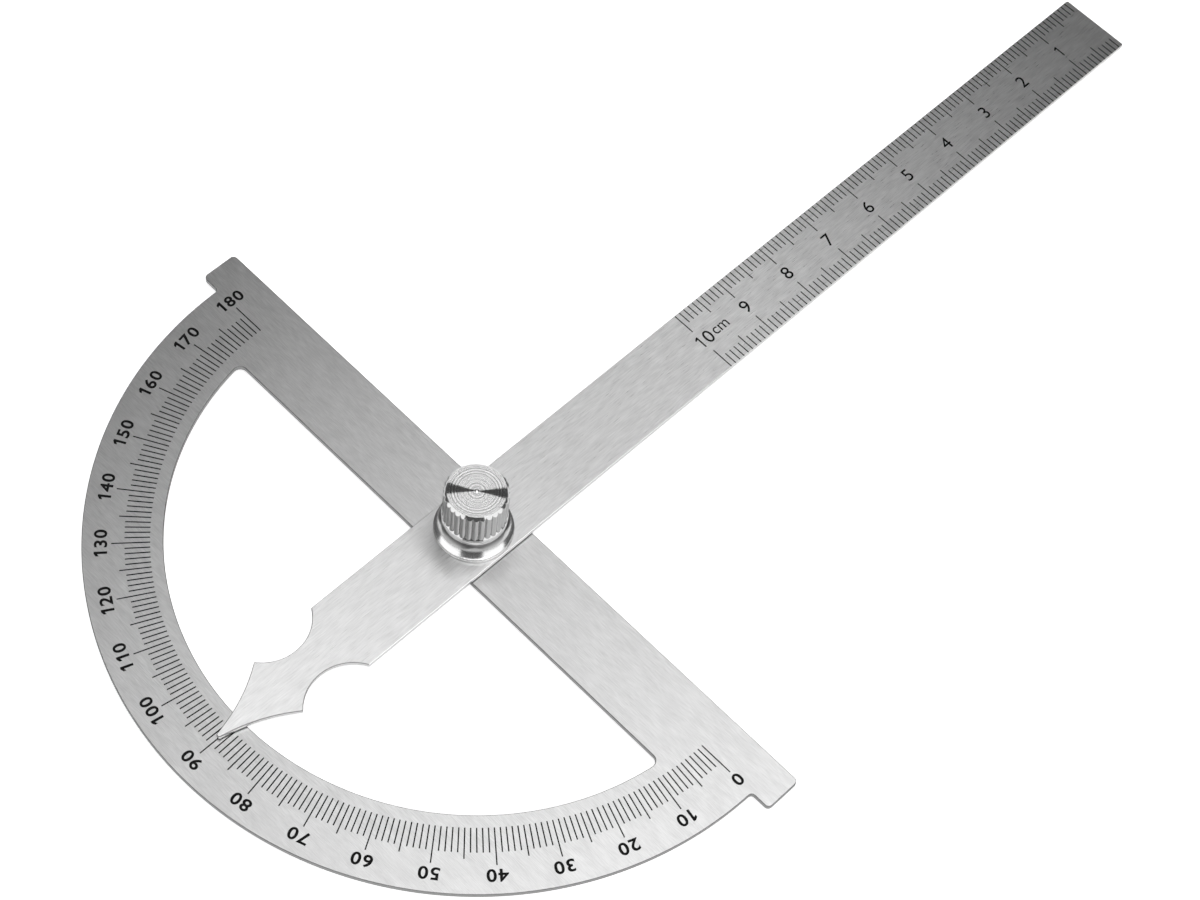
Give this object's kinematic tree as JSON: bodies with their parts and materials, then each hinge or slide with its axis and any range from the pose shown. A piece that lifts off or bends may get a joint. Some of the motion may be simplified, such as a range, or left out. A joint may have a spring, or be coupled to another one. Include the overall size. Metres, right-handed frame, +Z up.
{
  "type": "angle gauge",
  "caption": "Half-round protractor plate with a swinging graduated rule whose pointer reads the arc, clamped at the pivot by a knurled thumb nut.",
  "frame": {"origin": "on the pivot axis, at the flat outer face of the pivot screw's head, which the gauge lies on", "axes": "+Z up along the pivot axis, +Y towards the rule's measuring tip at rest and out of the plate's straight reference edge, +X towards the 0 degree end of the arc"},
  "size_m": [0.127, 0.2113, 0.0146],
  "materials": {
    "plate_steel": "satin, fine grain along the bar",
    "rule_steel": "satin, fine grain along the rule",
    "screw_steel": "turned, half bright",
    "washer_steel": "bright",
    "nut_plating": "bright nickel plate, turned top face"
  },
  "bodies": {
    "protractor": {"protractor_plate": "plate_steel", "pivot_screw": "screw_steel"},
    "rule": {"rule_arm": "rule_steel"},
    "clamp": {"clamp_washer": "washer_steel"},
    "nut": {"thumb_nut": "nut_plating"}
  },
  "joints": [
    {"name": "rule_swing", "type": "hinge", "parent": "protractor", "child": "rule", "pos_m": [0, 0, 0.0025], "axis": [0, 0, 1], "continuous": true},
    {"name": "nut_turn", "type": "hinge", "parent": "clamp", "child": "nut", "pos_m": [0, 0, 0.0035], "axis": [0, 0, 1], "range_deg": [0, 1080]},
    {"name": "nut_lift", "type": "slide", "parent": "protractor", "child": "clamp", "axis": [0, 0, 1], "range_m": [0, 0.0021]}
  ],
  "couplings": [
    {"joint": "nut_turn", "follows": "nut_lift", "rad_per_m": 8975.9}
  ]
}
